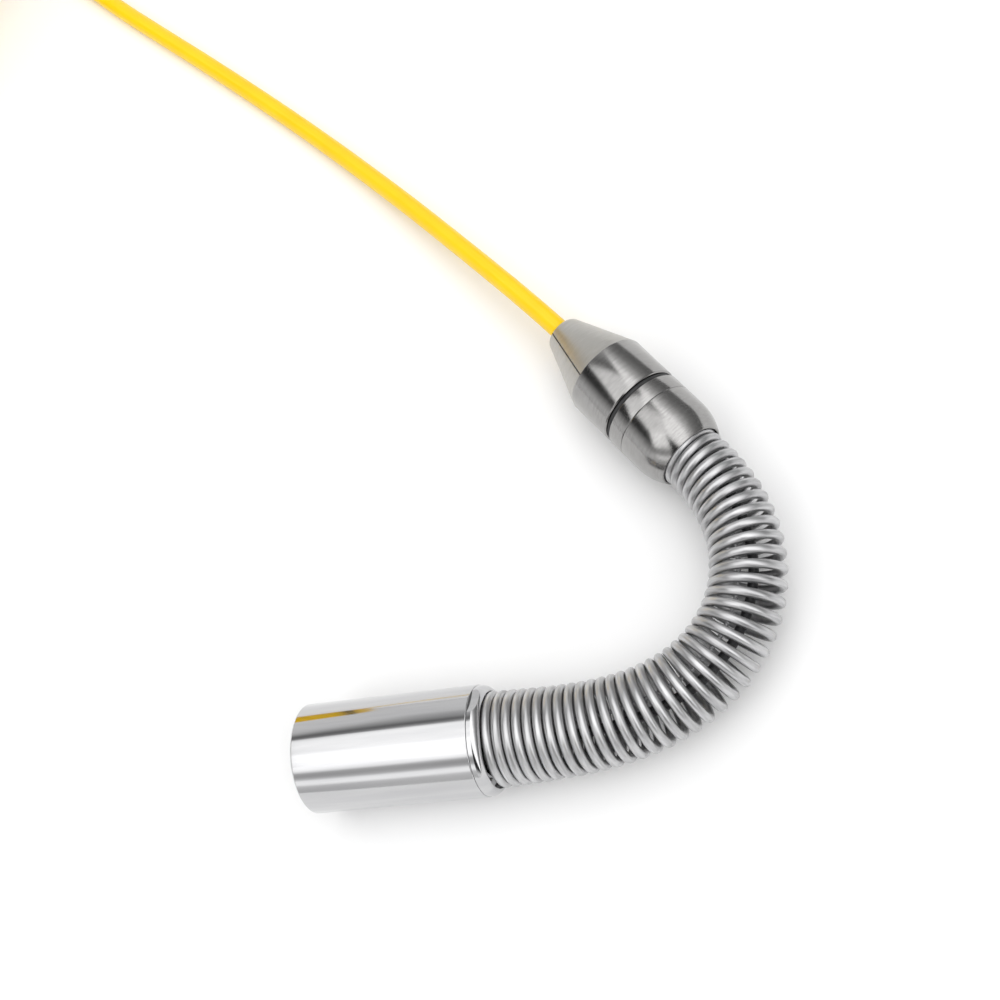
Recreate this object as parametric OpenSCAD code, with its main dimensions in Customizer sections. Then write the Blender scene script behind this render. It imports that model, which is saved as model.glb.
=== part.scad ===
// Inspection camera for pipes and drains: a turned steel camera head on a bending spring,
// a screw connector, and a push rod that ends in a round plug for the control box.
// The connector lies along X and the spring bends in the horizontal plane, clockwise seen
// from above. The origin is under the middle of the head, spring and connector, on the floor.

/* [Camera head] */
// Outside diameter of the head
head_d = 26.2; // [25.4:0.1:34]
// Length of the head's barrel, from the cap's seam to the front face
barrel_len = 44.2; // [40:0.1:70]
// Wall of the barrel
barrel_wall = 1.5; // [1:0.1:2]
// Visible length of the rear cap
cap_len = 2.9; // [2.5:0.1:6]
// Rounding of the rear cap's edge
cap_round = 2.1; // [1:0.1:2.2]
// Width across the cap from a spanner flat to the axis, as a share of its radius
flat_share = 0.94; // [0.93:0.005:0.98]
// Depth of the lip that holds the window
lip_len = 1.8; // [1.2:0.1:3]
// How far the lip covers the window
lip_cover = 1.4; // [0.8:0.1:2]
// Thickness of the window
window_t = 2.5; // [1.5:0.1:4]
// Number of lamps round the lens
lamp_count = 10; // [6:1:12]
// Diameter of the lens barrel
lens_d = 8.2; // [7:0.1:9]

/* [Spring] */
// Diameter of the spring's wire
wire_d = 2.3; // [1.8:0.05:2.33]
// Distance from turn to turn where the turns are closed
turn_pitch = 2.37; // [2.35:0.01:2.9]
// Free turns between the connector and the head
turns = 38; // [38:1:44]
// Outside diameter of the spring at the connector
coil_d_rear = 16.5; // [15:0.1:16.6]
// Outside diameter of the spring at the head
coil_d_front = 22.5; // [18.7:0.1:22.6]
// Turns held inside the connector's cup
rear_dead_turns = 2; // [1:0.5:2]

/* [Bend at rest] */
// Whole angle that the spring is bent by
bend_total = 128; // [0:1:150]
// Turn at which the bend is sharpest, counted from the connector
bend_centre = 13.8; // [8:0.1:28]
// Spread of the bend along the spring, in turns
bend_spread = 9.5; // [8:0.1:16]

/* [Connector] */
// Outside diameter of the connector
conn_d = 22; // [21.5:0.1:28]
// Length of the spring cup
cup_len = 13; // [12:0.1:20]
// Length of the cup's rounded nose
nose_len = 7.5; // [5:0.1:9]
// Diameter of the cup at its mouth
mouth_d = 17.7; // [17.5:0.1:18.5]
// Length of the coupling ring's rim
ring_len = 4.6; // [3:0.1:10]
// Thickness of the joint seal
seal_t = 1.3; // [1:0.1:2.5]
// Length of the rod holder's cylinder
holder_len = 12.8; // [12:0.1:20]
// Length of the rod holder's cone
cone_len = 17.3; // [14:0.1:26]
// Diameter of the cone's small end
cone_d = 9.3; // [8.6:0.1:11]
// Width of the cone's two slits
slit_w = 0.4; // [0.2:0.1:0.8]
// Length of thread that the coupling ring has to unscrew
draw = 6; // [3:0.5:6]

/* [Push rod] */
// Diameter of the push rod
rod_d = 5.2; // [4.3:0.1:5.6]
// Turns of the stored rod on top of each other
coil_layers = 13; // [9:1:14]
// Diameter of the stored coil at the middle of its turns
coil_mid_d = 119.6; // [118:0.1:121]
// Thickness of the ties round the coil
tie_t = 1; // [0.6:0.1:1.4]

/* [Plug] */
// Largest diameter of the plug
plug_d = 16.4; // [15:0.1:17]
// Length of the plug's boot
boot_len = 14; // [12:0.5:16]
// Length of the plug's shell
shell_len = 14; // [12:0.5:16]
// Length of the plug's nut
nut_len = 16; // [15:0.5:17]

/* [Hidden] */

round_fn = 72;
small_fn = 36;
run_fit = 0.05;
// The cap is turned smaller than the barrel by this much in radius, so that its edge never catches.
cap_step = 0.2;
slip_fit = 0.1;
head_r = head_d / 2;
conn_r = conn_d / 2;
wire_r = wire_d / 2;
rod_r = rod_d / 2;
plug_r = plug_d / 2;

// Stations along the connector: the cup's mouth is at zero and the rod side is negative.
seam_x = -cup_len;
ring_x = seam_x - ring_len;
seal_x = ring_x - seal_t;
shoulder_x = seal_x - holder_len;
tip_x = shoulder_x - cone_len;
first_turn_x = 1.6;

// The spring's centre line: one state [x, y, heading] for each step from turn 0 to the last.
steps = 24;
step_count = turns * steps;
rear_mid_r = coil_d_rear / 2 - wire_r;
front_mid_r = coil_d_front / 2 - wire_r;
front_end_turn = turns + 0.625;
phase = 36;
function limit(v, low, high) = max(low, min(high, v));
function mid_r(n) = rear_mid_r + (front_mid_r - rear_mid_r) * limit(n / turns, 0, 1);
function bend_weight(n) = exp(-pow((n - bend_centre) / bend_spread, 2) / 2);
function total(list, i = 0, sum = 0) =
  i == len(list) ? sum : total(list, i + 1, sum + list[i]);
weight_total = total([for (i = [0:step_count - 1]) bend_weight((i + 0.5) / steps)]);
function step_bend(i) = bend_total * bend_weight((i + 0.5) / steps) / weight_total;
function step_len(i) =
  turn_pitch / steps + mid_r((i + 0.5) / steps) * step_bend(i) * PI / 180;
centre_line = [for (i = 0, x = first_turn_x, y = 0, a = 0; i <= step_count;
  x = x + step_len(i) * cos(a - step_bend(i) / 2),
  y = y + step_len(i) * sin(a - step_bend(i) / 2),
  a = a - step_bend(i),
  i = i + 1) [x, y, a]];

// State at any turn number, straight beyond both ends of the free turns.
function state(n) =
  let (f = limit(n, 0, turns) * steps,
       i = min(floor(f), step_count - 1),
       p = centre_line[i],
       q = centre_line[i + 1],
       m = p + (q - p) * (f - i),
       over = (n - limit(n, 0, turns)) * turn_pitch)
  [m[0] + over * cos(m[2]), m[1] + over * sin(m[2]), m[2]];
function axis_z(n) = conn_r + (head_r - conn_r) * limit(n / turns, 0, 1);
// A point beside the centre line: side is to the left of the heading, up is along Z.
function beside(n, side, up) =
  let (s = state(n)) [s[0] - side * sin(s[2]), s[1] + side * cos(s[2]), axis_z(n) + up];
function wire_point(n) =
  let (t = 360 * n + phase) beside(n, mid_r(n) * cos(t), mid_r(n) * sin(t));

head_state = state(turns);
head_angle = head_state[2];
cap_x = 1.3;
cap_floor_x = 2.8;
barrel_x = cap_x + cap_len;
front_x = barrel_x + barrel_len;

// Middle of the box round the head, spring and connector, which the origin is put under.
function head_corner(u, side) =
  [head_state[0] + u * cos(head_angle) - side * sin(head_angle),
   head_state[1] + u * sin(head_angle) + side * cos(head_angle)];
outline = concat(
  [for (n = [0:0.25:turns], s = [-1, 1]) let (p = beside(n, s * (mid_r(n) + wire_r), 0))
    [p[0], p[1]]],
  [for (u = [barrel_x, front_x], s = [-head_r, head_r]) head_corner(u, s)],
  [[tip_x, -conn_r], [tip_x, conn_r]]);
outline_x = [for (p = outline) p[0]];
outline_y = [for (p = outline) p[1]];
mid_x = (min(outline_x) + max(outline_x)) / 2;
mid_y = (min(outline_y) + max(outline_y)) / 2;

// Head stations, from the front face back.
barrel_r = head_r - barrel_wall;
window_front_x = front_x - lip_len - 0.4;
window_back_x = window_front_x - window_t;
window_r = barrel_r - slip_fit;
opening_r = barrel_r - lip_cover;
ring_back_x = window_back_x - 2.4;
board_front_x = window_back_x - 2.5;
board_t = 1;
shroud_r = lens_d / 2 + 0.8;
lamp_w = 2.6;
lamp_pitch_r = (shroud_r + opening_r) / 2;
sensor_x = window_back_x - 14;
mount_len = 5;
pillar_r = 0.8;
pillar_pitch_r = opening_r - 1.4;
sensor_w = sqrt(2) * (pillar_pitch_r - pillar_r - slip_fit);
spigot_r = front_mid_r - wire_r - 0.25;
spigot_len = 5;
plug_in_len = 5.5;
lead_r = 1.5;
gland_r = 3.4;
lead_play = 0.3;

// Lead and safety wire inside the spring, each to one side of the centre line.
lead_side = 1.2;
wire_side = -2.2;
safety_r = 0.6;

// The push rod's route, from the holder down to the floor and on to the coil.
rod_route = [[shoulder_x - 1.3, 0, conn_r], [tip_x - 1, 0, conn_r], [-66, -0.6, 10.5], [-82, -1.5, 9.2],
  [-98, -2.5, 7.6], [-114, -3.6, 6], [-130, -5, 4.6], [-146, -6.6, 3.5], [-162, -8.5, 2.9],
  [-178, -10.7, 2.7], [-194, -13.1, 2.6], [-212, -16, 2.6], [-232, -19.4, 2.6],
  [-254, -22.9, 2.6], [-278, -25.4, 2.8], [-301, -24, 3.1], [-322, -18.6, 3.4],
  [-338, -13.4, 3.6], [-352, -10.2, 3.6]];
coil_centre = [-366, -77];
// Turns of the stored rod side by side, an even count so that the winding ends on the floor.
coil_columns = 4;
// The tail's route, counted from the coil's centre, from the last turn to the plug's boot.
tail_route = [[-6, 51.6, 3.6], [-20, 46, 3.5], [-32, 34.5, 3], [-37.5, 18.5, 2.7],
  [-35.5, 3, 2.9], [-28, -9, 4.2], [-16, -16.2, 6.4], [-4, -18, 8.1], [2, -18, 8.2]];
boot_x = -2;
plug_y = -18;
coil_r0 = coil_mid_d / 2 - coil_columns * rod_d / 2;
coil_r1 = coil_mid_d / 2 + coil_columns * rod_d / 2;
coil_top = tie_t + coil_layers * rod_d;
coil_chamfer = 1.5;

// ---- Shared shapes ----

// A body turned about X from an outline of [radius, x] points.
module turned(profile, fn = round_fn) rotate([0, 90, 0]) rotate_extrude($fn = fn) polygon(profile);
module ring(x0, x1, r0, r1, fn = round_fn) turned([[r0, x0], [r1, x0], [r1, x1], [r0, x1]], fn);
module rod_x(x0, x1, r, fn = small_fn)
  translate([x0, 0, 0]) rotate([0, 90, 0]) cylinder(h = x1 - x0, r = r, $fn = fn);
function arc(cr, cx, r, a0, a1, n) =
  [for (i = [0:n]) let (a = a0 + (a1 - a0) * i / n) [cr + r * cos(a), cx + r * sin(a)]];
module round_about_x(count, r)
  for (i = [0:count - 1]) rotate([360 * i / count, 0, 0]) translate([0, 0, r]) children();

module place() translate([-mid_x, -mid_y, 0]) children();
module on_connector() place() translate([0, 0, conn_r]) children();
module on_head()
  place() translate([head_state[0], head_state[1], head_r]) rotate([0, 0, head_angle]) children();
module on_coil() place() translate([coil_centre[0], coil_centre[1], 0]) children();
module on_plug() on_coil() translate([boot_x, plug_y, plug_r]) children();

function unit(v) = v / norm(v);
function turn_frame(points, i) =
  let (last = len(points) - 1, t = unit(points[min(i + 1, last)] - points[max(i - 1, 0)]),
       up = abs(t[2]) > 0.9 ? [1, 0, 0] : [0, 0, 1], e = unit(cross(up, t)))
  [e, cross(t, e)];
// A tube's rings. The first and last points only aim its ends when guides is 1.
function tube_points(points, r, sides, guides) =
  [for (i = [guides:len(points) - 1 - guides]) let (f = turn_frame(points, i))
    for (k = [0:sides - 1]) points[i] + r * (cos(360 * k / sides) * f[0]
      + sin(360 * k / sides) * f[1])];
function tube_faces(rings, sides) = concat(
  [[for (k = [0:sides - 1]) k]],
  [for (i = [0:rings - 2], k = [0:sides - 1], half = [0, 1])
    let (a = i * sides, b = a + sides, m = (k + 1) % sides)
    half == 0 ? [a + k, b + k, b + m] : [a + k, b + m, a + m]],
  [[for (k = [sides - 1:-1:0]) (rings - 1) * sides + k]]);
module tube(points, r, sides, guides = 0) polyhedron(
  tube_points(points, r, sides, guides), tube_faces(len(points) - 2 * guides, sides), convexity = 10);

// A smooth curve through hand-chosen points, with cuts points on each stretch.
function curve_point(p, i, t) =
  let (last = len(p) - 1, a = p[max(i - 1, 0)], b = p[i], c = p[i + 1], d = p[min(i + 2, last)])
  0.5 * ((2 * b) + (c - a) * t + (2 * a - 5 * b + 4 * c - d) * t * t
    + (3 * b - a - 3 * c + d) * t * t * t);
function curve(p, cuts) = concat(
  [for (i = [0:len(p) - 2], j = [0:cuts - 1]) curve_point(p, i, j / cuts)], [p[len(p) - 1]]);

// ---- Camera head ----

module head_barrel() color("gainsboro") on_head() turned([[barrel_r, barrel_x],
  [head_r, barrel_x], [head_r, front_x - 0.5], [head_r - 0.5, front_x], [opening_r + 0.8, front_x],
  [opening_r, front_x - 0.8], [opening_r, front_x - lip_len], [barrel_r, front_x - lip_len]]);
module front_window() color("lightcyan") on_head() rod_x(window_back_x, window_front_x, window_r,
  round_fn);
module window_seal() color("black") on_head()
  ring(window_front_x, front_x - lip_len, opening_r + 0.1, window_r);
module window_ring() color("dimgray") on_head()
  ring(ring_back_x, window_back_x, opening_r, barrel_r - slip_fit);
module lamp_board() color("darkgreen") on_head() difference() {
  rod_x(board_front_x - board_t, board_front_x, opening_r - slip_fit, round_fn);
  rod_x(board_front_x - board_t - 1, board_front_x + 1, shroud_r + slip_fit);
}
module lamps() color("lightyellow") on_head() round_about_x(lamp_count, lamp_pitch_r)
  translate([board_front_x, -lamp_w / 2, -lamp_w / 2]) cube([1.1, lamp_w, lamp_w]);
module light_shroud() color("black") on_head()
  ring(board_front_x - 2.2, window_back_x, lens_d / 2 + slip_fit, shroud_r);
module lens_barrel() color("dimgray") on_head() turned([[lens_d / 2 - 1.2, sensor_x + 1],
  [lens_d / 2, sensor_x + 1], [lens_d / 2, window_back_x - 0.8], [lens_d / 2 - 0.6, window_back_x - 0.5],
  [lens_d / 2 - 1.2, window_back_x - 1.2]]);
module camera_lens() color("midnightblue") on_head() turned([[0, window_back_x - 4],
  [lens_d / 2 - 1.3, window_back_x - 4], [lens_d / 2 - 1.3, window_back_x - 2.1],
  [lens_d / 4, window_back_x - 1.5], [0, window_back_x - 1.3]]);
module lens_mount() color("darkslategray") on_head() difference() {
  translate([sensor_x, -sensor_w / 2, -sensor_w / 2]) cube([mount_len, sensor_w, sensor_w]);
  rod_x(sensor_x - 1, sensor_x + mount_len + 1, lens_d / 2 + run_fit);
}
module sensor_board() color("darkgreen") on_head()
  translate([sensor_x - 1, -sensor_w / 2, -sensor_w / 2]) cube([1, sensor_w, sensor_w]);
module main_board() color("seagreen") on_head()
  translate([main_board_x, -0.6, -8]) cube([main_board_len, 1.2, 16]);
main_board_x = barrel_x + plug_in_len + 0.5;
main_board_len = sensor_x - 1.1 - main_board_x;
chip_gap = 1.2;
chip_len = (main_board_len - 4 * chip_gap) / 3;
module board_chips() color("black") on_head() for (i = [0:2])
  translate([main_board_x + chip_gap + (chip_len + chip_gap) * i, 0.6, -5 + 3 * (i % 2)])
    cube([chip_len, 1.2, 6]);
module board_pillars() color("gold") on_head() rotate([45, 0, 0])
  round_about_x(4, pillar_pitch_r) rod_x(barrel_x + plug_in_len, board_front_x - board_t, pillar_r);
module rear_cap() {
  groove_x = barrel_x + 1.6;
  cap_r = head_r - cap_step;
  color("gainsboro") on_head() difference() {
    turned(concat(
      [[gland_r, -spigot_len], [spigot_r - 0.4, -spigot_len], [spigot_r, -spigot_len + 0.4],
       [spigot_r, cap_floor_x], [front_mid_r + wire_r + slip_fit, cap_floor_x],
       [front_mid_r + wire_r + slip_fit, cap_x + 0.1]],
      arc(cap_r - cap_round, cap_x + cap_round, cap_round, -72, 0, 8),
      [[cap_r, barrel_x], [barrel_r - run_fit, barrel_x], [barrel_r - run_fit, groove_x],
       [barrel_r - 1.5, groove_x], [barrel_r - 1.5, groove_x + 1.6],
       [barrel_r - run_fit, groove_x + 1.6], [barrel_r - run_fit, barrel_x + plug_in_len],
       [gland_r, barrel_x + plug_in_len]]));
    for (a = [127, 307]) rotate([a - 90, 0, 0])
      translate([cap_x - 1, -head_r, head_r * flat_share]) cube([cap_len + 0.8, head_d, head_r]);
  }
}
module rear_cap_seal() color("black") on_head() turned(arc(barrel_r - 0.75, barrel_x + 2.4, 0.7, 0,
  345, 23));
module lead_gland() color("black") on_head() difference() {
  union() {
    rod_x(-spigot_len, barrel_x + plug_in_len, gland_r - run_fit);
    rod_x(-spigot_len - 2, -spigot_len, gland_r + 1.5);
  }
  translate([0, lead_side, 0]) rod_x(-spigot_len - 3, barrel_x + plug_in_len + 1, lead_r + lead_play);
}

// ---- Spring, lead and safety wire ----

link_turns = 3;
link_count = 11;
first_joint_turn = 2.375;
wire_sides = 8;
function wire_run(n0, n1) =
  [for (i = [-1:round((n1 - n0) * steps) + 1]) wire_point(n0 + i / steps)];
module spring_run(n0, n1) color("darkgray") place() tube(wire_run(n0, n1), wire_r, wire_sides, 1);
module spring_rear_turns() spring_run(-rear_dead_turns, first_joint_turn);
module spring_link(i)
  spring_run(first_joint_turn + link_turns * (i - 1), first_joint_turn + link_turns * i);
module spring_front_turns()
  spring_run(first_joint_turn + link_count * link_turns, front_end_turn);

inner_end_turn = turns - (spigot_len + 2.2) / turn_pitch;
function inner_run(side, n0, n1) =
  [for (i = [0:60]) beside(n0 + (n1 - n0) * i / 60, side, 0)];
module signal_lead() color("black") place()
  tube(inner_run(lead_side, -3.5, turns + (barrel_x + plug_in_len + 0.3) / turn_pitch), lead_r, 8);
module safety_wire() color("silver") place()
  tube(inner_run(wire_side, -1, inner_end_turn), safety_r, 8);

// ---- Connector ----

module spring_cup() {
  drop = conn_r - mouth_d / 2;
  nose_r = (nose_len * nose_len + drop * drop) / (2 * drop);
  nose_angle = asin(nose_len / nose_r);
  bore_r = coil_d_rear / 2 + 0.2;
  color("gainsboro") on_connector() turned(concat(
    [[7.6, seam_x], [conn_r - 0.15, seam_x], [conn_r, seam_x + 0.15]],
    arc(conn_r - nose_r, -nose_len, nose_r, 0, nose_angle, 12),
    [[bore_r, 0], [bore_r, -5.5], [7.6, -5.5]]));
}
module spring_stub() color("silver") on_connector() difference() {
  union() {
    rod_x(-5.4, -0.4, rear_mid_r - wire_r - slip_fit);
    rod_x(-9.4, -5.4, 7.5);
  }
  translate([0, lead_side, 0]) rod_x(-10, 0, lead_r + lead_play);
  translate([0, wire_side, 0]) rod_x(-1.3, 0, safety_r + 0.1);
}
// The neck carries the coupling ring's threaded sleeve, and the snap ring holds it on.
sleeve_x = seal_x - draw - 0.6;
snap_x = sleeve_x - 0.05;
neck_x = snap_x - 0.75;
neck_r = 6.4;
neck_bore_r = 5.6;
thread_clear_r = neck_r + run_fit;
module connector_neck() color("silver") on_connector() turned([[neck_bore_r, neck_x],
  [neck_r, neck_x], [neck_r, seam_x + 0.4], [7.5, seam_x + 0.4], [7.5, -9.5], [neck_bore_r, -9.5]]);
module snap_ring() color("silver") on_connector() ring(snap_x - 0.6, snap_x, neck_r + 0.02, 7.6);
contact_r = 3.4;
contact_count = 4;
insert_x = neck_x - 0.2;
pin_reach = 2;
module pin_insert() color("ivory") on_connector() difference() {
  rod_x(seam_x - 4, seam_x + 1, neck_bore_r - slip_fit);
  round_about_x(contact_count, contact_r) rod_x(seam_x - 5, seam_x + 2, 0.5 + run_fit, 24);
}
module contact_pins() color("gold") on_connector()
  round_about_x(contact_count, contact_r) rod_x(insert_x - pin_reach, seam_x + 2.2, 0.5, 24);
module coupling_ring() color("gainsboro") on_connector() turned([[thread_clear_r, sleeve_x],
  [7.9, sleeve_x], [7.9, ring_x + 0.05], [conn_r - 0.1, ring_x + 0.05],
  [conn_r, ring_x + 0.15], [conn_r, seam_x - 0.15], [conn_r - 0.1, seam_x - 0.05],
  [thread_clear_r, seam_x - 0.05]]);
module joint_seal() color("black") on_connector() turned(concat([[7.95, seal_x + 0.02],
  [conn_r - 0.8, seal_x + 0.02]], arc(conn_r - 0.9, seal_x + seal_t / 2, seal_t / 2 - 0.05, -80, 80, 6),
  [[conn_r - 0.8, ring_x], [7.95, ring_x]]));
module rod_holder() {
  pocket_x = shoulder_x + 1.5;
  slit_len = cone_len + 0.3;
  color("silver") on_connector() difference() {
    turned([[rod_r + 0.5, tip_x], [cone_d / 2 - 0.5, tip_x], [cone_d / 2 - 0.15, tip_x + 0.15],
      [cone_d / 2 + 0.2, tip_x + 0.6], [conn_r - 0.1, shoulder_x - 0.1], [conn_r, shoulder_x + 0.2],
      [conn_r, seal_x - 0.3], [conn_r - 0.3, seal_x], [8, seal_x], [8, pocket_x],
      [rod_r + 1.6, pocket_x], [rod_r + 1.6, pocket_x - 6], [rod_r + 0.15, pocket_x - 6],
      [rod_r + 0.15, tip_x + 5], [rod_r + 1.05, tip_x + 5], [rod_r + 1.05, tip_x + 3.4],
      [rod_r + 0.15, tip_x + 3.4], [rod_r + 0.15, tip_x + 0.35]]);
    for (a = [119, 299]) rotate([a - 90, 0, 0]) translate([tip_x, 0, cone_d / 2])
      rotate([0, -atan((conn_r - cone_d / 2) / cone_len), 0])
        translate([-1, -slit_w / 2, -0.5]) cube([slit_len + 1, slit_w, 2]);
  }
}
module socket_insert() color("ivory") on_connector() difference() {
  rod_x(shoulder_x + 1.6, insert_x, 8 - slip_fit);
  round_about_x(contact_count, contact_r) rod_x(shoulder_x, insert_x + 1, 1.1, 24);
}
module contact_sockets() color("gold") on_connector()
  round_about_x(contact_count, contact_r) ring(shoulder_x + 2, insert_x, 0.56, 1.05, 24);
module rod_ferrule() color("goldenrod") on_connector()
  ring(shoulder_x - 4.4, shoulder_x + 1.4, rod_r + 0.05, rod_r + 1.5);
module rod_seal() color("black") on_connector()
  ring(tip_x + 3.45, tip_x + 4.95, rod_r + 0.03, rod_r + 1);

// ---- Push rod, its stored coil and its plug ----

function coil_section(grow, chamfer) =
  let (r0 = coil_r0 - grow, r1 = coil_r1 + grow, z0 = tie_t - grow, z1 = coil_top + grow, c = chamfer)
  [[r0 + c, z0], [r1 - c, z0], [r1, z0 + c], [r1, z1 - c], [r1 - c, z1], [r0 + c, z1],
   [r0, z1 - c], [r0, z0 + c]];
module push_rod() color("gold") place() tube(curve(rod_route, 2), rod_r, 12);
module push_rod_coil() color("gold") on_coil() rotate_extrude($fn = 96)
  polygon(coil_section(0, coil_chamfer));
module coil_ties() color("black") on_coil() for (a = [26, 146, 266]) rotate([0, 0, a])
  rotate_extrude(angle = 9, $fn = 96) difference() {
    polygon(coil_section(tie_t, coil_chamfer + tie_t * 0.6));
    polygon(coil_section(0, coil_chamfer));
  }
module rod_tail() color("gold") on_coil() tube(curve(tail_route, 2), rod_r, 12);

shell_x = boot_len;
nut_x = shell_x + shell_len - 3;
nut_end_x = nut_x + nut_len;
thread_r = 6.6;
contacts_x = nut_end_x - 9.5;
module plug_boot() color("black") on_plug() turned([[rod_r + 0.1, 0], [rod_r + 1, 0],
  [rod_r + 1.3, 0.6], [5.6, boot_len - 2], [5.6, boot_len], [rod_r + 0.1, boot_len]]);
module plug_shell() color("silver") on_plug() turned([[5, shell_x], [6.8, shell_x],
  [7.2, shell_x + 0.6], [7.2, shell_x + 5], [plug_r, shell_x + 6], [plug_r, nut_x - 0.6],
  [6, nut_x - 0.6], [6, contacts_x - 1], [5, contacts_x - 1]]);
module plug_insert() color("ivory") on_plug() difference() {
  rod_x(contacts_x - 6, contacts_x, 5 - slip_fit);
  round_about_x(contact_count, 2.6) rod_x(contacts_x - 7, contacts_x + 1, 0.5 + run_fit, 24);
}
module plug_pins() color("gold") on_plug()
  round_about_x(contact_count, 2.6) rod_x(contacts_x - 5.5, contacts_x + 4, 0.5, 24);
module plug_nut() {
  grooves = 24;
  color("silver") on_plug() difference() {
    turned([[6.05, nut_x], [plug_r - 0.6, nut_x], [plug_r - 0.2, nut_x + 0.4],
      [plug_r - 0.2, nut_end_x - 0.4], [plug_r - 0.6, nut_end_x], [thread_r, nut_end_x],
      [thread_r, contacts_x - 2], [6.05, contacts_x - 2]]);
    round_about_x(grooves, plug_r - 0.2) translate([nut_x + 1.5, 0, 0]) rotate([0, 90, 0])
      cylinder(h = nut_len - 3, r = 0.35, $fn = 16);
  }
}

head_barrel();
front_window();
window_seal();
window_ring();
lamp_board();
lamps();
light_shroud();
lens_barrel();
camera_lens();
lens_mount();
sensor_board();
main_board();
board_chips();
board_pillars();
rear_cap();
rear_cap_seal();
lead_gland();
spring_front_turns();
spring_link(1);  // spring_turns_01
spring_link(2);  // spring_turns_02
spring_link(3);  // spring_turns_03
spring_link(4);  // spring_turns_04
spring_link(5);  // spring_turns_05
spring_link(6);  // spring_turns_06
spring_link(7);  // spring_turns_07
spring_link(8);  // spring_turns_08
spring_link(9);  // spring_turns_09
spring_link(10);  // spring_turns_10
spring_link(11);  // spring_turns_11
spring_rear_turns();
signal_lead();
safety_wire();
spring_cup();
spring_stub();
connector_neck();
snap_ring();
pin_insert();
contact_pins();
coupling_ring();
joint_seal();
rod_holder();
socket_insert();
contact_sockets();
rod_ferrule();
rod_seal();
push_rod();
push_rod_coil();
coil_ties();
rod_tail();
plug_boot();
plug_shell();
plug_insert();
plug_pins();
plug_nut();
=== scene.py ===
# %% [markdown]
# # A pipe inspection camera
# This lesson builds the looks of a small camera head on a bending spring, with a screw
# connector, a yellow push rod, and the rod's stored coil with its plug. The solids come from
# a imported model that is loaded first, and every new piece is made in the same place.
# Turned metal parts are outlines spun round an axis. The spring is a line that a small
# node tree thickens into wire, so that the wire keeps its thickness when the spring bends.

import math

import bmesh
import bpy
from mathutils import Matrix, Vector


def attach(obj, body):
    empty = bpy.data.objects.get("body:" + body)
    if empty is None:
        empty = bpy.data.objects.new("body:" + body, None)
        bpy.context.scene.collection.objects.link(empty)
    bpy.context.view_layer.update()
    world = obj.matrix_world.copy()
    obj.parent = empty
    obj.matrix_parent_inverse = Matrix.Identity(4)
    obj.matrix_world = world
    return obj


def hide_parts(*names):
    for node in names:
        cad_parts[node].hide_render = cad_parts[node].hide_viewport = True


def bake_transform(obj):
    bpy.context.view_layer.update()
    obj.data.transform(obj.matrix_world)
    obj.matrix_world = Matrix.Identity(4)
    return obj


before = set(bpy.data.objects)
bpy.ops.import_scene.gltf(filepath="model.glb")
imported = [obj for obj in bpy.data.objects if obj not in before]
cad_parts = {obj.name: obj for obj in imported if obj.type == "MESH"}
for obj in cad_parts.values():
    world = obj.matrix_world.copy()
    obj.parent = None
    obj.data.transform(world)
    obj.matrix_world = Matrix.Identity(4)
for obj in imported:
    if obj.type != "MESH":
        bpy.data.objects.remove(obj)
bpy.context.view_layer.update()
MM = 0.001
scene = bpy.context.scene

# %% [markdown]
# ## The camera
# The view looks down on the part from its right side. A rotation is three rows that say
# where the camera's own right, up and back directions point. Blender wants them as columns,
# so the matrix is transposed. A long lens keeps the turned parts free of wide-angle stretch.

# %% The camera
view_rows = Matrix(
    (
        (0.606262, 0.722537, -0.332246),
        (-0.649380, 0.690944, 0.317651),
        (0.459078, 0.023174, 0.888094),
    )
)
eye = Vector((0.151815, 0.025238, 0.358814))
camera_data = bpy.data.cameras.new("view_camera")
camera_data.lens = 57.055
camera_data.sensor_width = 36.0
camera_data.clip_start = 0.01
camera = bpy.data.objects.new("view_camera", camera_data)
scene.collection.objects.link(camera)
camera.matrix_world = Matrix.Translation(eye) @ view_rows.transposed().to_4x4()
scene.camera = camera
print("camera at", [round(v, 3) for v in eye])

# %% [markdown]
# ## Sizes that the pieces share
# The same sizes and the same steps as in the solid model give the spring's centre line: at
# each small step the heading turns a little, most of all near the middle of the bend.
# Lengths are in millimetres here and become metres when a point is placed.

# %% Sizes and the spring's centre line
HEAD_R, CONN_R, WIRE_R, ROD_R = 13.1, 11.0, 1.15, 2.6
TURNS, STEPS, PITCH = 38, 24, 2.37
REAR_MID_R, FRONT_MID_R = 7.1, 10.1
BEND, BEND_CENTRE, BEND_SPREAD, PHASE = 128.0, 13.8, 9.5, 36.0
FIRST_TURN_X = 1.6
BARREL_X, FRONT_X, CAP_X, CAP_FLOOR_X = 4.2, 48.4, 1.3, 2.8
SEAM_X, RING_X, SEAL_X, SHOULDER_X, TIP_X = -13.0, -17.6, -18.9, -31.7, -49.0


def limit(value, low, high):
    return max(low, min(high, value))


def share_of_turns(turn):
    return limit(turn / TURNS, 0.0, 1.0)


def mid_r(turn):
    return REAR_MID_R + (FRONT_MID_R - REAR_MID_R) * share_of_turns(turn)


def axis_z(turn):
    return CONN_R + (HEAD_R - CONN_R) * share_of_turns(turn)


def bend_weight(turn):
    return math.exp(-(((turn - BEND_CENTRE) / BEND_SPREAD) ** 2) / 2)


weights = [bend_weight((i + 0.5) / STEPS) for i in range(TURNS * STEPS)]
step_bends = [math.radians(BEND) * w / sum(weights) for w in weights]
centre_line = [(FIRST_TURN_X, 0.0, 0.0)]
for i, turn_by in enumerate(step_bends):
    x, y, heading = centre_line[-1]
    step_len = PITCH / STEPS + mid_r((i + 0.5) / STEPS) * turn_by
    middle = heading - turn_by / 2
    centre_line.append(
        (x + step_len * math.cos(middle), y + step_len * math.sin(middle), heading - turn_by)
    )


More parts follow.
